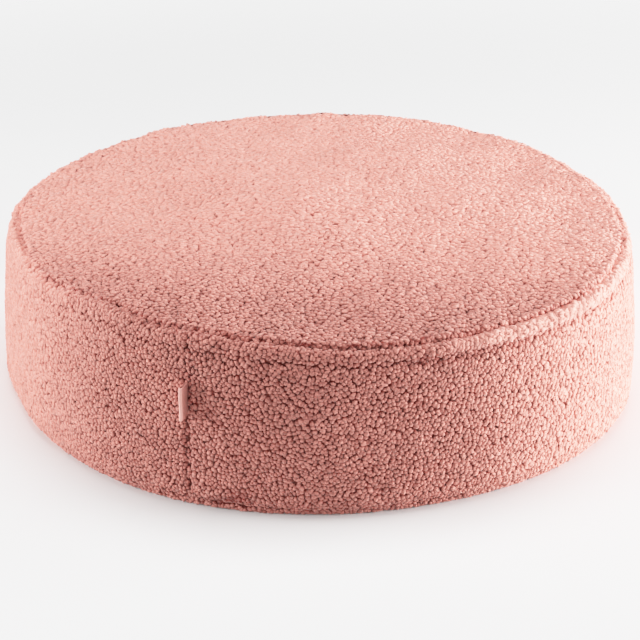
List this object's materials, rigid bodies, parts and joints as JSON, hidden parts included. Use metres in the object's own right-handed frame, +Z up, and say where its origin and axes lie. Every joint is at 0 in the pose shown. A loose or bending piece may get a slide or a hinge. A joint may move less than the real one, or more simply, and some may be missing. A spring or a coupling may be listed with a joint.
{
  "type": "round floor pouf ottoman",
  "caption": "Low round pouf in curly teddy fleece: a crowned top panel, a bulging side band and a flat base parted by sewn seams, with a small folded ribbon label.",
  "frame": {"origin": "middle of the bounding box on the flat base, which lies on z = 0", "axes": "+Z up through the crown, -Y towards the front as pictured, +X to the right seen from the front"},
  "size_m": [0.7956, 0.8044, 0.2218],
  "materials": {
    "teddy_fleece": "curly short pile, dusty pink",
    "label_ribbon": "plain woven ribbon, pale pink cream"
  },
  "bodies": {
    "root": {"pouf_cushion": "teddy_fleece", "side_label": "label_ribbon"}
  },
  "joints": []
}
